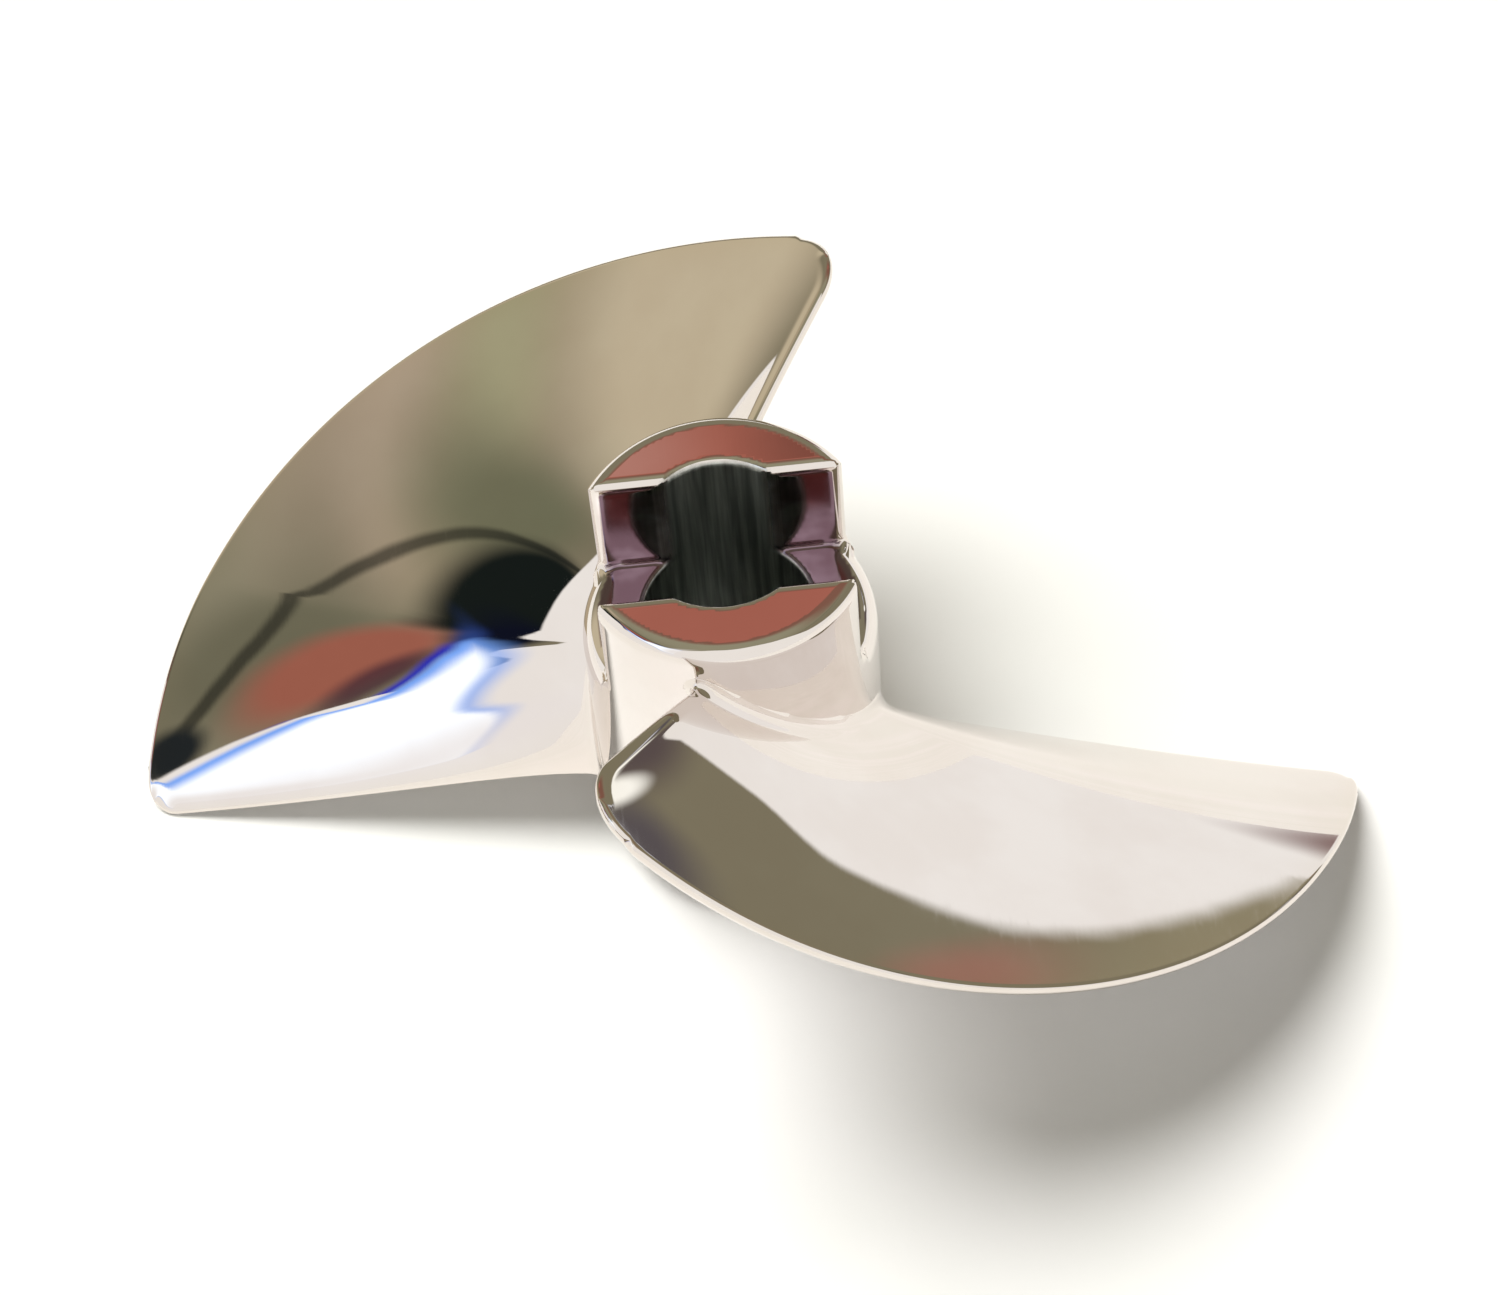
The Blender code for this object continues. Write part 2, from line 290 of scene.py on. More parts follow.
def outline_sides():
    """The nose, the leading edge and the tail, each from its end nearest the hub or the nose."""
    nose_root = polar(ROOT_RADIUS, NOSE_ROOT_ANGLE)
    tail_root = polar(ROOT_RADIUS, TAIL_ROOT_ANGLE)
    swept = swept_edge()
    from_nose = np.linalg.norm(swept - swept[0], axis=1)
    from_tail = np.linalg.norm(swept - swept[-1], axis=1)
    after_nose = swept[np.searchsorted(from_nose, 2 * NOSE_CORNER_ROUND)]
    before_tail = swept[::-1][np.searchsorted(from_tail[::-1], 2 * TAIL_CORNER_ROUND)]
    nose_turn = rounded_corner(nose_root, swept[0], after_nose, NOSE_CORNER_ROUND, 65)
    tail_turn = rounded_corner(before_tail, swept[-1], tail_root, TAIL_CORNER_ROUND, 65)
    inside = from_nose > np.linalg.norm(nose_turn[-1] - swept[0]) + 0.2
    inside &= from_tail > np.linalg.norm(tail_turn[0] - swept[-1]) + 0.2
    nose = np.vstack([[nose_root], nose_turn[:33]])
    leading = np.vstack([nose_turn[32:], swept[inside], tail_turn[:33]])
    tail = np.vstack([[tail_root], tail_turn[32:][::-1]])
    return nose, leading, tail


nose_edge, leading_edge, tail_edge = outline_sides()
plan_reach = float(np.linalg.norm(leading_edge, axis=1).max())
print("blade plan reaches", round(plan_reach, 2), "mm from the shaft line")

# %% [markdown]
# The surface is a grid. Ribs run from the hub to the leading edge, and a Coons patch spreads them
# between the four edges. The ribs and stations crowd towards the edges, where the metal turns.

# %% Grid of the blade
MIDDLE_ANGLE = 300.0
MIDDLE_RADIUS = 10.0
MIDDLE_DROP = 5.27
LEAD = 37.1
LEAD_GROWTH = 2.05
LEAD_EASE = 0.0002
RAKE = 0.0114
DISH = 0.0083
CUP_ANGLE = 335.0
CUP = 0.0026
RIBS = 150
STATIONS = 96


def surface_height(radius, angle):
    """Height of the middle of the blade's thickness above the foot of the model."""
    turn = angle - MIDDLE_ANGLE
    out = radius - MIDDLE_RADIUS
    lead = LEAD + LEAD_GROWTH * out
    cup = CUP * np.maximum(angle - CUP_ANGLE, 0) ** 2
    return HUB_TOP - MIDDLE_DROP - lead * turn / 360 + LEAD_EASE * turn**2 - RAKE * out + DISH * out**2 - cup


def on_surface(plan):
    radius = np.hypot(plan[..., 0], plan[..., 1])
    angle = np.degrees(np.arctan2(plan[..., 1], plan[..., 0])) % 360
    angle = np.where(angle < 180, angle + 360, angle)
    return np.concatenate([plan, surface_height(radius, angle)[..., None]], axis=-1)


def crowded(count, power_low, power_high):
    """Shares from 0 to 1 that crowd towards both ends."""
    t = np.linspace(0, 1, count)
    return t**power_low * (1 - t) + (1 - (1 - t) ** power_high) * t


def evenly(points, shares):
    steps = np.linalg.norm(np.diff(points, axis=0), axis=1)
    along = np.concatenate([[0], np.cumsum(steps)])
    along /= along[-1]
    return np.stack([np.interp(shares, along, points[:, i]) for i in range(2)], axis=1)


def plan_grid():
    along = crowded(RIBS, 1.9, 1.9)
    out = crowded(STATIONS, 1.6, 2.2)
    root = polar(ROOT_RADIUS, NOSE_ROOT_ANGLE + (TAIL_ROOT_ANGLE - NOSE_ROOT_ANGLE) * along)
    far = evenly(leading_edge, along)
    u = along[:, None, None]
    v = out[None, :, None]
    plan = (1 - v) * root[:, None] + v * far[:, None]
    plan += (1 - u) * evenly(nose_edge, out)[None] + u * evenly(tail_edge, out)[None]
    corners = (1 - u) * ((1 - v) * root[0] + v * far[0]) + u * ((1 - v) * root[-1] + v * far[-1])
    return plan - corners


blade_plan = plan_grid()
print("blade grid:", blade_plan.shape[0], "ribs of", blade_plan.shape[1], "stations")

# %% [markdown]
# The slot side is the smooth, working face, so nearly all the thickness lies behind it. It is
# greatest in the middle of the root and thins outwards. Every free edge is rounded: crisp along
# the leading edge, softer round the nose, and rolled over along the tail. Where the blade meets
# the hub, each point moves out from the blade by the height of a round fillet and keeps its
# distance from the shaft line, so that the fillet runs right round the root, as on a casting.

# %% Thickness and fillet
THIN = 0.5
ROOT_THICKNESS = 1.25
ROOT_REACH = 8.0
END_REACH = 3.5
SLOT_SIDE_SHARE = 0.15
LEADING_ROUND = 0.1
NOSE_ROUND = 0.3
TAIL_ROUND = 0.5
FAR_SIDE_ROUND = 0.5
ROOT_FILLET = 0.4


def distance_to(points, edge):
    """Distance from each plan point to a plan line."""
    flat = points.reshape(-1, 1, 2)
    nearest = np.full(len(flat), np.inf)
    for start, end in zip(edge, edge[1:]):
        step = end - start
        share = np.clip(((flat[:, 0] - start) @ step) / (step @ step), 0, 1)
        gap = np.linalg.norm(flat[:, 0] - start - share[:, None] * step, axis=1)
        nearest = np.minimum(nearest, gap)
    return nearest.reshape(points.shape[:-1])


def thinned(line, every):
    return np.vstack([line[::every], line[-1:]])


def quarter_round(share):
    """Height of a quarter of a circle, from 0 at its foot to 1, where share is 1."""
    return np.sqrt(1 - (1 - np.clip(share, 0, 1)) ** 2)


def offsets(plan):
    """How far the slot side and the far side lie from the surface, and the distance to the free edge."""
    nose = distance_to(plan, nose_edge)
    tail = distance_to(plan, tail_edge)
    leading = distance_to(plan, thinned(leading_edge, 3))
    inward = np.minimum(np.minimum(nose, tail), leading)
    radius = np.hypot(plan[..., 0], plan[..., 1])
    root_share = np.clip(1 - (radius - HUB_RADIUS) / ROOT_REACH, 0, 1) ** 1.5
    from_ends = np.clip(np.minimum(nose, tail) / END_REACH, 0, 1)
    thickness = THIN + (ROOT_THICKNESS - THIN) * root_share * from_ends**2 * (3 - 2 * from_ends)
    rolled = np.minimum(np.minimum(leading / LEADING_ROUND, nose / NOSE_ROUND), tail / TAIL_ROUND)
    slot_side = SLOT_SIDE_SHARE * quarter_round(rolled)
    far_side = (thickness - SLOT_SIDE_SHARE) * quarter_round(inward / FAR_SIDE_ROUND)
    return slot_side, far_side, inward


def blade_sides():
    """Points of the slot side and of the far side of the blade, before the fillet."""
    middle = on_surface(blade_plan)
    slot_side, far_side, inward = offsets(blade_plan)
    normal = np.cross(np.gradient(middle, axis=1), np.gradient(middle, axis=0))
    normal /= np.linalg.norm(normal, axis=-1, keepdims=True)
    normal *= np.sign(normal[..., 2:3])
    return middle + normal * slot_side[..., None], middle - normal * far_side[..., None], inward


def add_fillet(bm):
    """Moves the points near the hub out from the blade, each at its own distance from the shaft line."""
    moves = []
    for point in bm.verts:
        outwards = Vector((point.co.x, point.co.y, 0))
        share = min(max((outwards.length / MM - HUB_RADIUS) / ROOT_FILLET, 0), 1)
        climb = ROOT_FILLET * (1 - math.sqrt(1 - (1 - share) ** 2))
        outwards.normalize()
        along_hub = point.normal - outwards * point.normal.dot(outwards)
        lean = max(along_hub.length, 0.5)
        moves.append((outwards, along_hub.normalized() * climb / lean * MM))
    for point, (outwards, move) in zip(bm.verts, moves):
        distance = math.hypot(point.co.x, point.co.y)
        point.co += move
        grown = math.hypot(point.co.x, point.co.y)
        point.co.x *= distance / grown
        point.co.y *= distance / grown


def blade_mesh():
    upper, lower, inward = blade_sides()
    bm = bmesh.new()
    nearness = bm.verts.layers.float.new("edge_nearness")

    def vertex(point, gap):
        made = bm.verts.new(point * MM)
        made[nearness] = math.exp(-((gap / 0.5) ** 2))
        return made

    top = [[vertex(p, g) for p, g in zip(*row)] for row in zip(upper, inward)]
    bottom = []
    for i, row in enumerate(lower):
        rim = i in (0, RIBS - 1)
        made = [top[i][j] if rim or j == STATIONS - 1 else vertex(p, inward[i, j]) for j, p in enumerate(row)]
        bottom.append(made)
    for i in range(RIBS - 1):
        for j in range(STATIONS - 1):
            bm.faces.new([top[i][j], top[i][j + 1], top[i + 1][j + 1], top[i + 1][j]])
            bm.faces.new([bottom[i + 1][j], bottom[i + 1][j + 1], bottom[i][j + 1], bottom[i][j]])
    bmesh.ops.recalc_face_normals(bm, faces=bm.faces[:])
    bm.normal_update()
    if top[RIBS // 2][STATIONS // 2].normal.z < 0:
        bmesh.ops.reverse_faces(bm, faces=bm.faces[:])
        bm.normal_update()
    add_fillet(bm)
    for i in range(RIBS - 1):
        ring = [top[i][0], top[i + 1][0], bottom[i + 1][0], bottom[i][0]]
        bm.faces.new(list(dict.fromkeys(ring)))
    bmesh.ops.recalc_face_normals(bm, faces=bm.faces[:])
    return bm


blade_1 = mesh_object("blade_1_plated", blade_mesh())
blade_1.data.polygons.foreach_set("use_smooth", [True] * len(blade_1.data.polygons))
blade_2 = bpy.data.objects.new("blade_2_plated", blade_1.data.copy())
bpy.context.scene.collection.objects.link(blade_2)
for corner in blade_2.data.vertices:
    corner.co = (-corner.co.x, -corner.co.y, corner.co.z)
print("blade skin:", len(blade_1.data.polygons), "faces")

# %% [markdown]
# A finish is a small net of nodes. Two helpers keep the net readable: one adds a node and sets or
# links its inputs, and the other makes a soft step from 0 to 1.

# %% Node helpers
def node(tree, kind, *values, **settings):
    """Adds a node. A value is a number, a colour or another node's output, in the order of inputs."""
    made = tree.nodes.new("ShaderNode" + kind)
    for name, value in settings.items():
        setattr(made, name, value)
    for socket, value in zip(made.inputs, values):
        if isinstance(value, bpy.types.NodeSocket):
            tree.links.new(value, socket)
        elif value is not None:
            socket.default_value = value
    return made


def sum_up(tree, operation, *values):
    return node(tree, "Math", *values, operation=operation).outputs[0]


def soft_step(tree, value, start, end, low=0.0, high=1.0):
    """Turns smoothly from low, where value is start, to high, where it is end."""
    made = node(tree, "MapRange", value, start, end, low, high, interpolation_type="SMOOTHSTEP")
    return made.outputs[0]


def blend_colours(tree, share, first, second):
    made = node(tree, "Mix", data_type="RGBA")
    for socket, value in zip((made.inputs[0], made.inputs[6], made.inputs[7]), (share, first, second)):
        if isinstance(value, bpy.types.NodeSocket):
            tree.links.new(value, socket)
        else:
            socket.default_value = value if socket is made.inputs[0] else (*value, 1)
    return made.outputs[2]


def new_finish(name):
    material = bpy.data.materials.new(name)
    material.use_nodes = True
    return material, material.node_tree, material.node_tree.nodes["Principled BSDF"]


# %% [markdown]
# The propeller is plated with bright chrome over polished nickel. Such a mirror has almost no
# colour of its own: a little pink and yellow of the nickel shows through. What tells the eye that
# it is real metal is in the details. The plating is a touch uneven, as hand polishing leaves long
# shallow waves. Fine wiping marks cross it, and along the edges, which are handled most, it is
# slightly dulled. Bump makes the waves and marks, and noise makes the rest.

# %% Chrome
CHROME_TINT = (0.78, 0.73, 0.705)


def chrome_finish(name, tint, wiping_turn):
    material, tree, shader = new_finish(name)
    place = node(tree, "TexCoord").outputs["Object"]
    millimetres = node(tree, "Mapping", place, (0, 0, 0), (0, 0, 0), (1000, 1000, 1000)).outputs[0]
    cloud = node(tree, "TexNoise", millimetres, None, 0.22, 4.0, 0.55).outputs[0]
    turned_place = node(tree, "Mapping", millimetres, (0, 0, 0), (0.2, 0.3, wiping_turn), (9, 0.5, 4))
    wiping = node(tree, "TexNoise", turned_place.outputs[0], None, 1.0, 3.0, 0.6).outputs[0]
    edge = node(tree, "Attribute", attribute_name="edge_nearness").outputs["Fac"]

    pale = tuple(min(1.0, c * 1.02) for c in tint)
    deep = tuple(c * s for c, s in zip(tint, (0.975, 0.96, 0.95)))
    plate = blend_colours(tree, soft_step(tree, cloud, 0.35, 0.65), deep, pale)
    worn = blend_colours(tree, sum_up(tree, "MULTIPLY", edge, 0.35), plate, (0.74, 0.67, 0.6))
    tree.links.new(worn, shader.inputs["Base Color"])

    dull = soft_step(tree, wiping, 0.5, 0.8, 0.008, 0.03)
    cloudy = soft_step(tree, cloud, 0.4, 0.75, 0.0, 0.02)
    roughness = sum_up(tree, "ADD", sum_up(tree, "ADD", dull, cloudy), sum_up(tree, "MULTIPLY", edge, 0.03))
    tree.links.new(roughness, shader.inputs["Roughness"])
    shader.inputs["Metallic"].default_value = 1.0

    wave = node(tree, "TexNoise", millimetres, None, 0.5, 1.0, 0.4).outputs[0]
    height = sum_up(tree, "MULTIPLY_ADD", wiping, 0.00006, sum_up(tree, "MULTIPLY", wave, 0.002))
    bump = node(tree, "Bump", 1.0, MM, None, height)
    bump.inputs["Strength"].default_value = 0.6
    tree.links.new(bump.outputs[0], shader.inputs["Normal"])
    return material


blade_chrome = chrome_finish("blade_chrome", CHROME_TINT, 0.5)
print("blade finish:", len(blade_chrome.node_tree.nodes), "nodes")
hub_chrome = chrome_finish("hub_chrome", CHROME_TINT, 1.4)
for blade in (blade_1, blade_2):
    blade.data.materials.append(blade_chrome)

# %% [markdown]
# Plating hardly reaches down a narrow bore, so inside it the metal stays dark and dull, with faint
# marks along the bore from the reamer being drawn out. The hub keeps one material: the mark on the
# mesh blends it from chrome at the rim of the bore to the dark wall inside. Shade is painted into the
# slot: below its top edge the walls are coloured in blotches paler and darker than the chrome, as
# painted reflections and shade, and the floor is painted a deep dark red, as shade.

# %% Painted shade in the slot, and the dark bore
# painted shade and painted reflections in the slot, below its top edge
def paint_slot_shade(material):
    tree = material.node_tree
    shader = tree.nodes["Principled BSDF"]
    share = node(tree, "Attribute", attribute_name="slot_shade_share").outputs["Fac"]
    place = node(tree, "TexCoord").outputs["Object"]
    painted_reflection_blotches = node(tree, "TexNoise", place, None, 900.0, 2.0, 0.5).outputs[0]
    # painted reflections and shade: blotches paler and darker than the chrome on the slot walls
    wall = blend_colours(tree, soft_step(tree, painted_reflection_blotches, 0.42, 0.7), (0.66, 0.54, 0.56), (1.0, 0.93, 0.95))
    height_here = node(tree, "SeparateXYZ", place).outputs[2]
    # painted shade: the slot floor is coloured a deep dark red
    floor_shade_share = soft_step(tree, height_here, (SLOT_FLOOR + 0.15) * MM, (SLOT_FLOOR + 0.02) * MM)
    wall = blend_colours(tree, floor_shade_share, wall, (0.26, 0.18, 0.22))
    plate = shader.inputs["Base Color"].links[0].from_socket
    tree.links.new(blend_colours(tree, share, plate, wall), shader.inputs["Base Color"])
    smooth = shader.inputs["Roughness"].links[0].from_socket
    tree.links.new(sum_up(tree, "MULTIPLY_ADD", share, 0.1, smooth), shader.inputs["Roughness"])


def darken_bore(material):
    tree = material.node_tree
    shader = tree.nodes["Principled BSDF"]
    share = node(tree, "Attribute", attribute_name="bore_share").outputs["Fac"]
    place = node(tree, "TexCoord").outputs["Object"]
    drawn = node(tree, "Mapping", place, (0, 0, 0), (0, 0, 0), (4000, 4000, 150))
    marks = node(tree, "TexNoise", drawn.outputs[0], None, 1.0, 3.0, 0.6).outputs[0]
    wall = blend_colours(tree, soft_step(tree, marks, 0.3, 0.75), (0.18, 0.2, 0.185), (0.5, 0.54, 0.5))
    plate = shader.inputs["Base Color"].links[0].from_socket
    tree.links.new(blend_colours(tree, share, plate, wall), shader.inputs["Base Color"])
    smooth = shader.inputs["Roughness"].links[0].from_socket
    rough = node(tree, "Mix", share)
    tree.links.new(smooth, rough.inputs[2])
    rough.inputs[3].default_value = 0.42
    tree.links.new(rough.outputs[0], shader.inputs["Roughness"])


paint_slot_shade(hub_chrome)
darken_bore(hub_chrome)
hub.data.materials.append(hub_chrome)

# %% [markdown]
# The propeller stands on a pale sheet of paper. Its colour wanders slightly, as real paper does
# under soft light, and a fine grain keeps it from looking like a void.

# %% Paper on the table
def paper_finish():
    material, tree, shader = new_finish("paper")
    place = node(tree, "TexCoord").outputs["Object"]
    cloud = node(tree, "TexNoise", place, None, 45.0, 3.0, 0.6).outputs[0]
    colour = blend_colours(tree, soft_step(tree, cloud, 0.35, 0.7), (0.84, 0.85, 0.82), (0.89, 0.89, 0.88))
    tree.links.new(colour, shader.inputs["Base Color"])
    grain = node(tree, "TexNoise", place, None, 2600.0, 2.0, 0.5).outputs[0]
    bump = node(tree, "Bump", 0.12, 0.05 * MM, None, grain)
    tree.links.new(bump.outputs[0], shader.inputs["Normal"])
    shader.inputs["Roughness"].default_value = 0.9
    shader.inputs["Specular IOR Level"].default_value = 0.2
    return material


def table():
    bm = bmesh.new()
    bmesh.ops.create_grid(bm, x_segments=8, y_segments=8, size=3.0)
    made = mesh_object("table", bm)
    made.data.materials.append(paper_finish())
    return made


table()

# %% [markdown]
# A mirror shows its surroundings, so the studio matters more than the metal. One way is to model a
# room and place it round the propeller. Painting the world by direction is simpler, because only the
# direction in which a reflection leaves the metal matters. Each place on this sky has a compass
# direction, counted anticlockwise from +X, and a height above the table, both in degrees. Chrome
# tints what it shows, so a colour is divided by the tint first.

# %% Directions on the sky
def through_chrome(red, green, blue):
    """The light that looks like this display colour once the chrome has tinted it."""
    return tuple((value / 255) ** 2.2 / tint for value, tint in zip((red, green, blue), CHROME_TINT))


world = bpy.data.worlds.new("room")
bpy.context.scene.world = world
world.use_nodes = True
room = world.node_tree
backdrop = room.nodes["Background"]
across, ahead, upward = node(room, "SeparateXYZ", node(room, "TexCoord").outputs["Generated"]).outputs
turn = sum_up(room, "DEGREES", sum_up(room, "ARCTAN2", ahead, across))
compass = sum_up(room, "WRAP", turn, 360.0, 0.0)
height = sum_up(room, "DEGREES", sum_up(room, "ARCSINE", upward))
print("a mid grey seen in the chrome:", [round(value, 3) for value in through_chrome(128, 128, 128)])

# %% [markdown]
# Three shapes are enough to paint with. A patch is a soft oval, for cupboards, lamps and shadows. An
# outline is a smooth curve of height against direction through a few points, for edges that wander.
# A plain sum is enough where an edge is straight or arched.

# %% Shapes to paint with
def patch(direction, above, half_width, half_height, softness, lean=0.0):
    """1 inside an oval on the sky, 0 outside it. Lean turns the oval anticlockwise, in degrees."""
    aside = sum_up(room, "WRAP", sum_up(room, "SUBTRACT", compass, direction), 180.0, -180.0)
    over = sum_up(room, "SUBTRACT", height, above)
    cosine, sine = math.cos(math.radians(lean)), math.sin(math.radians(lean))
    along = sum_up(room, "MULTIPLY_ADD", aside, cosine, sum_up(room, "MULTIPLY", over, sine))
    upright = sum_up(room, "MULTIPLY_ADD", over, cosine, sum_up(room, "MULTIPLY", aside, -sine))
    squares = [sum_up(room, "POWER", sum_up(room, "ABSOLUTE", sum_up(room, "DIVIDE", value, half)), 2.0)
               for value, half in ((along, half_width), (upright, half_height))]
    ring = sum_up(room, "SQRT", sum_up(room, "ADD", *squares))
    return soft_step(room, ring, 1 + softness, 1 - softness)


def outline(*points):
    """Height along a smooth line through (direction, height) points, from direction 0 to 360."""
    line = node(room, "FloatCurve", 1.0, sum_up(room, "DIVIDE", compass, 360.0))
    curve = line.mapping.curves[0]
    curve.points[0].location = (0, points[0][1] / 90)
    curve.points[1].location = (1, points[-1][1] / 90)
    for direction, above in points[1:-1]:
        curve.points.new(direction / 360, above / 90)
    for point in curve.points:
        point.handle_type = "AUTO_CLAMPED"
    line.mapping.update()
    return sum_up(room, "MULTIPLY", line.outputs[0], 90.0)


def under(line, softness):
    """1 below a line, 0 above it."""
    return soft_step(room, sum_up(room, "SUBTRACT", height, line), softness, -softness)


def add_patch(under_it, share, display_colour, strength=1.0):
    share = sum_up(room, "MULTIPLY", share, strength)
    return blend_colours(room, share, under_it, through_chrome(*display_colour))


def add_patches(under_it, patches):
    """Ovals painted one over the other, each with its place, display colour and strength."""
    for place, display_colour, strength in patches:
        under_it = add_patch(under_it, patch(*place), display_colour, strength)
    return under_it


# %% [markdown]
# The paper sweep is the palest thing in the room. Its edge ends low at the right, climbs behind the
# left-hand blade, and towers in front, where the sheet comes towards the eye. The window stands on
# that edge at the left: its top falls to a corner and rises again, and its sill falls steadily.

# %% Edge of the table, and the window
table_edge = outline(
    (0, 8), (27.5, 8.5), (29, 7), (37, 6), (50, 9.5), (64, 12.5), (75, 6), (140, 1), (150, 5), (168, 20),
    (174, 26.5), (184, 37), (186, 38), (191.5, 35.5), (195.5, 32), (197, 35), (205, 30.5), (209, 36),
    (214, 41), (228, 47),
    (240, 64), (255, 72), (285, 72), (308, 60), (325, 25), (345, 12), (360, 8),
)
window_top = outline(
    (0, 0), (187, 0), (188, 40), (197, 38), (210, 35.5), (212, 39), (222, 43.5), (232, 50), (233, 0),
    (360, 0),
)
window_sill = outline((0, 60), (186, 42), (192, 38), (205, 30), (219, 24), (230, 15), (360, 15))
below_table_edge = under(table_edge, 0.3)
above_sill_share = sum_up(room, "SUBTRACT", 1.0, under(window_sill, 2.2))
in_window = sum_up(room, "MULTIPLY", under(window_top, 0.5), above_sill_share)
print("table edge and window:", len(room.nodes), "nodes so far")

# %% [markdown]
# Above the table edge the room is dim and olive, a little paler overhead. At the right stand low,
# dull things, and at the left a beige wall meets an olive one.

# %% Walls
pale = through_chrome(233, 226, 220)
olive = through_chrome(122, 114, 94)
sky = blend_colours(room, soft_step(room, height, 30.0, 75.0), olive, through_chrome(140, 134, 112))

RIGHT_OF_THE_ROOM = (
    ((27, 11, 5, 5, 0.7), (84, 72, 74), 0.9),
    ((38, 14.5, 6, 1.6, 0.6), (76, 70, 80), 0.8),
    ((56, 13, 2.8, 0.9, 0.6), (152, 108, 94), 0.85),
    ((63, 14, 4.5, 2.6, 0.7), (142, 132, 106), 0.8),
)
BEIGE_AND_OLIVE_WALLS = (
    ((150, 22, 15, 24, 0.5), (190, 175, 148), 0.95),
    ((162, 47, 14, 9, 0.7), (165, 150, 122), 0.8),
    ((168, 50.5, 9, 4.5, 0.7), (178, 159, 138), 0.9),
    ((164, 42, 3.5, 4, 0.9), (156, 152, 120), 0.8),
    ((170.5, 38, 4.5, 9, 0.6), (104, 104, 82), 0.9),
    ((194, 48.5, 20, 4, 0.5, -8), (106, 102, 83), 1.0),
)
sky = add_patches(sky, RIGHT_OF_THE_ROOM + BEIGE_AND_OLIVE_WALLS)
print("walls:", len(RIGHT_OF_THE_ROOM) + len(BEIGE_AND_OLIVE_WALLS), "patches")

# %% [markdown]
# A dark line runs along the top of the wall and down its side. The top falls evenly with direction
# and then runs level. The side is an arch, furthest out at one height. The line is drawn where the
# nearer of the two is close.

# %% Ceiling line
LINE_START = 86.0
LINE_FALL = -0.19
LINE_LEVEL = 44.0
ARCH_DIRECTION = 172.7
ARCH_HEIGHT = 40.7
ARCH_BEND = 0.045
line_top = sum_up(room, "MAXIMUM", sum_up(room, "MULTIPLY_ADD", compass, LINE_FALL, LINE_START), LINE_LEVEL)
from_arch = sum_up(room, "SUBTRACT", height, ARCH_HEIGHT)
bend = sum_up(room, "MULTIPLY", sum_up(room, "MULTIPLY", from_arch, from_arch), ARCH_BEND)
line_side = sum_up(room, "ADD", bend, ARCH_DIRECTION)
below_line_top = sum_up(room, "SUBTRACT", line_top, height)
within = sum_up(room, "MINIMUM", below_line_top, sum_up(room, "SUBTRACT", compass, line_side))
on_line = soft_step(room, sum_up(room, "ABSOLUTE", within), 0.75, 0.15)
sky = add_patch(sky, on_line, (38, 38, 34), 0.75)
print("ceiling line at direction 200:", LINE_START + LINE_FALL * 200, "degrees high")

# %% [markdown]
# Under the line hang a warm cupboard and a dark doorway with a bluish edge. The ends of the hub face
# upwards and see brown beams, and a lamp low at the right lights the corner of the nose.

# %% Cupboard, doorway, beams and lamp
CUPBOARD_AND_DOORWAY = (
    ((198, 42.9, 14.5, 3.8, 0.35, -7), (152, 92, 76), 1.0),
    ((204, 38.8, 9, 1.6, 0.6, -6), (74, 48, 56), 0.85),
    ((180, 37.8, 6.6, 7.8, 0.22), (28, 32, 30), 1.0),
    ((189, 38.4, 8.5, 2.6, 0.4, -22), (22, 24, 36), 1.0),
    ((190, 39.8, 7.5, 0.7, 0.8, -20), (50, 70, 130), 0.8),
    ((216.5, 44.7, 4.5, 1.6, 0.4, -15), (38, 41, 42), 1.0),
)
BEAMS = (
    ((60, 58, 66, 15, 0.5), (122, 80, 68), 0.9),
    ((90, 54.8, 12, 4, 0.5), (162, 96, 82), 0.95),
    ((92.6, 52.6, 1.8, 0.9, 0.8), (176, 124, 112), 0.8),
    ((87.4, 52.6, 1.6, 0.9, 0.8), (112, 68, 58), 0.8),
)
LAMP = (
    ((31.3, 14.4, 1.5, 2.2, 0.5), (252, 248, 238), 1.0),
    ((36.5, 15.3, 3.2, 0.6, 0.5), (226, 224, 230), 0.8),
)
sky = add_patches(sky, CUPBOARD_AND_DOORWAY + BEAMS + LAMP)
print("things in the room:", len(CUPBOARD_AND_DOORWAY) + len(BEAMS) + len(LAMP), "patches")

# %% [markdown]
# Last the parts are laid over each other: a blue fringe over the window, the pale table, and the
# window's light, which is bluer near its frame. A pale wall beside the window and a short dark red
# mark low at the back lie on top. The eye itself sees a plain pale backdrop, and the paper gets less
# light from the room than the mirror shows, so that shadows stay deep enough.

# %% Put the room together
fringe = sum_up(room, "SUBTRACT", under(sum_up(room, "ADD", window_top, 0.8), 0.5), under(window_top, 0.5))
fringe = sum_up(room, "MULTIPLY", sum_up(room, "MAXIMUM", fringe, 0.0), patch(204, 38, 12, 6, 0.3))
sky = add_patch(sky, fringe, (25, 36, 180), 0.9)
seen = blend_colours(room, below_table_edge, sky, pale)
below_top = sum_up(room, "SUBTRACT", window_top, height)
above_sill = sum_up(room, "SUBTRACT", height, window_sill)
from_frame = soft_step(room, sum_up(room, "MINIMUM", below_top, above_sill), 0.3, 2.4)
glow = blend_colours(room, from_frame, through_chrome(120, 165, 245), through_chrome(262, 266, 272))
seen = blend_colours(room, in_window, seen, glow)
PALE_WALL = ((231, 30, 6, 24, 0.9), (233, 226, 223), 0.9)
DARK_RED_MARK = ((71, 4, 5, 6.5, 0.25), (100, 60, 58), 0.95)
seen = add_patches(seen, (PALE_WALL, DARK_RED_MARK))
BACKDROP = (0.93, 0.93, 0.91)
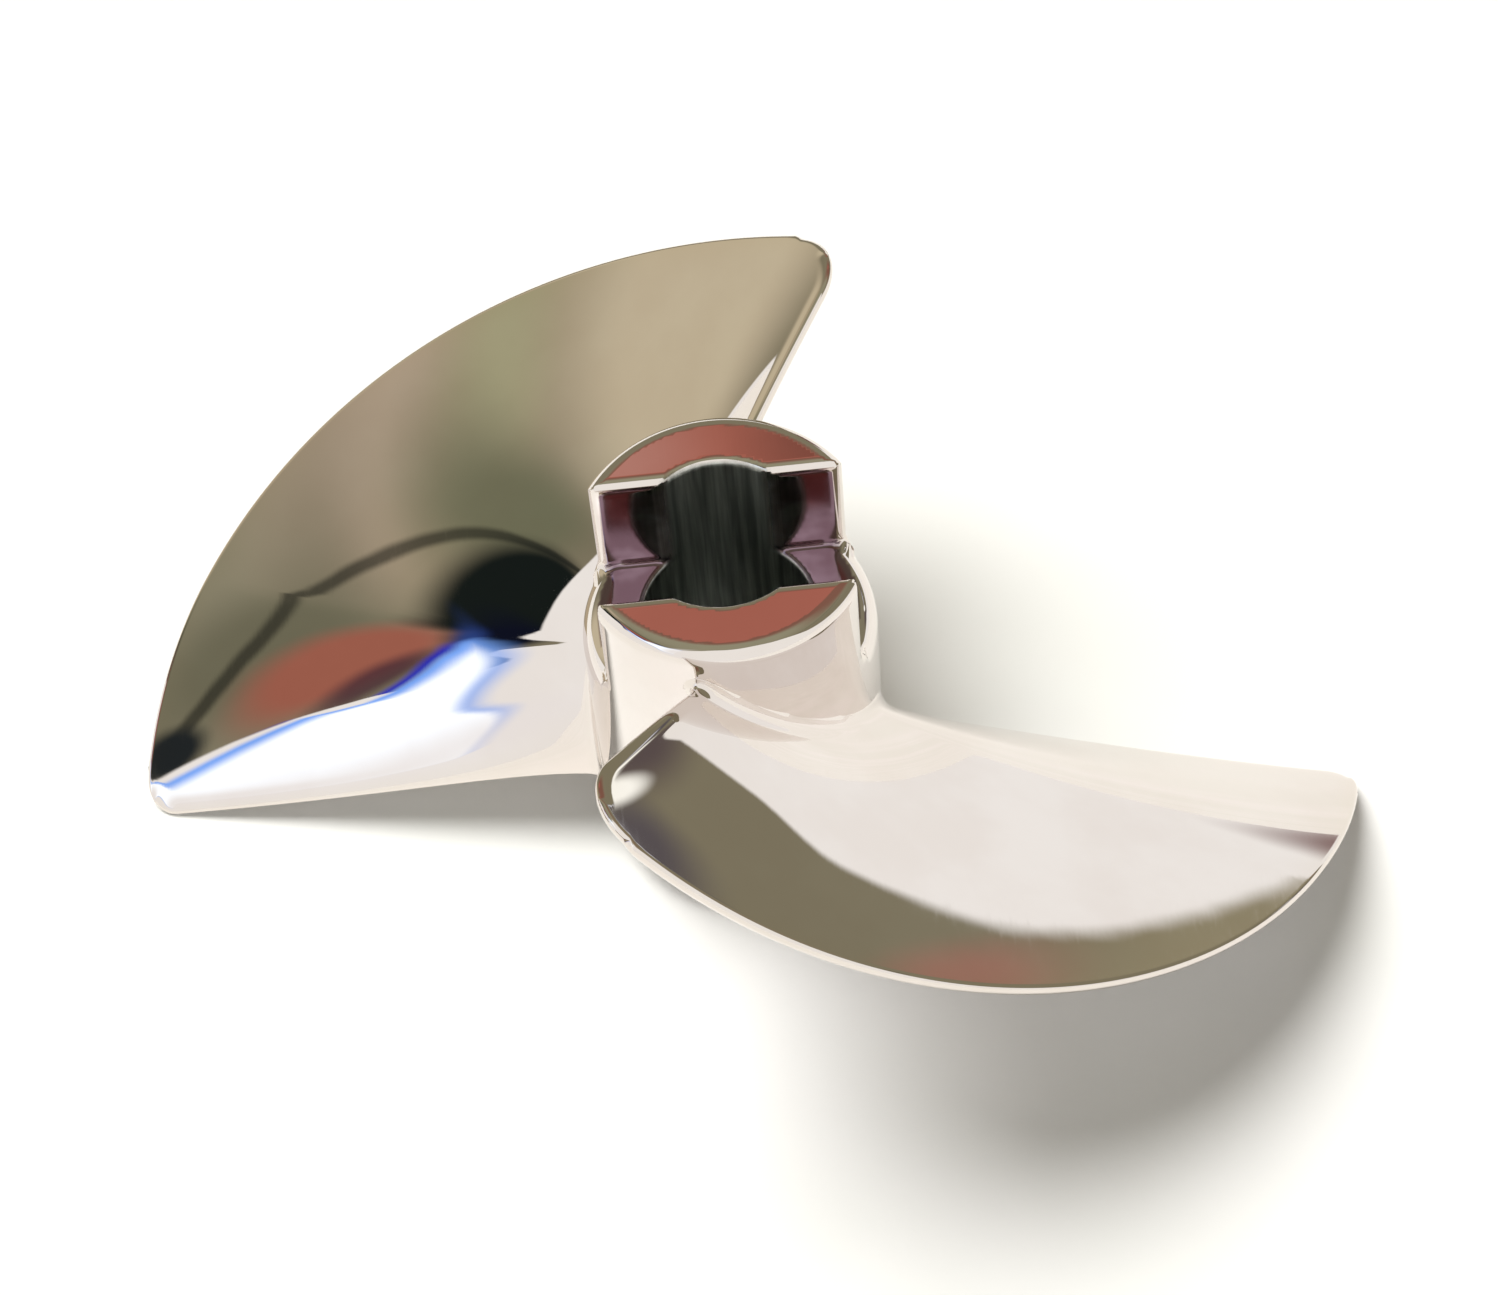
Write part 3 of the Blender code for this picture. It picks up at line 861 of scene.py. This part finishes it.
LIGHT_ON_PAPER = 0.6
rays = node(room, "LightPath")
for_camera = rays.outputs["Is Camera Ray"]
tinted = blend_colours(room, for_camera, seen, BACKDROP)
room.links.new(tinted, backdrop.inputs["Color"])
in_mirror = sum_up(room, "ADD", for_camera, rays.outputs["Is Glossy Ray"])
strength = sum_up(room, "MULTIPLY_ADD", in_mirror, 1 - LIGHT_ON_PAPER, LIGHT_ON_PAPER)
room.links.new(strength, backdrop.inputs["Strength"])
print("room:", len(room.nodes), "nodes")

# %% [markdown]
# The light itself is one very large, soft source from the upper left and slightly behind, which
# gives the wide shadows under the blades. It is kept out of the mirror, because a real softbox
# would cover the room that the metal should show.

# %% Soft light
sun_data = bpy.data.lights.new("soft_window", "SUN")
sun_data.energy = 3.6
sun_data.color = (1.0, 0.99, 0.975)
sun_data.angle = math.radians(38)
sun = bpy.data.objects.new("soft_window", sun_data)
bpy.context.scene.collection.objects.link(sun)
sun.rotation_euler = Vector((-0.5, 0.45, 1.4)).to_track_quat("Z", "Y").to_euler()
sun.visible_glossy = False

# %% [markdown]
# The camera looks down at the slot end from the front, about 54 degrees above the table. It is
# close, only 11 cm from the hub, which is what makes the near blade look larger than the far one.

# %% Camera
camera_data = bpy.data.cameras.new("camera")
camera = bpy.data.objects.new("camera", camera_data)
bpy.context.scene.collection.objects.link(camera)
CAMERA_ASIDE = 0.1
CAMERA_IN_FRONT = 66.35
CAMERA_ABOVE_HUB = 90.56
camera.location = (CAMERA_ASIDE * MM, -CAMERA_IN_FRONT * MM, (CAMERA_ABOVE_HUB + HUB_TOP) * MM)
target = Vector((0.5, -0.5, HUB_TOP - 5)) * MM
facing = (camera.location - target).to_track_quat("Z", "Y")
CAMERA_ROLL = -5.6
camera.rotation_euler = (facing @ Quaternion((0, 0, 1), math.radians(CAMERA_ROLL))).to_euler()
camera_data.lens = 98
camera_data.sensor_width = 36
camera_data.clip_start = 0.005
camera_data.clip_end = 20
bpy.context.scene.camera = camera
bpy.context.scene.view_settings.view_transform = "Standard"

# %% [markdown]
# Last, every piece is tied to the body that it moves with, and the CAD node that it stands for is
# hidden. The propeller has no joints, so there is one body.

# %% Tie the pieces to the body
pieces = (
    (hub, "hub", "hub_plating"),
    (blade_1, "blade_1", "blade_plating"),
    (blade_2, "blade_2", "blade_plating"),
)
for piece, cad_node, finish in pieces:
    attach(piece, "root")
    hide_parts(cad_node)
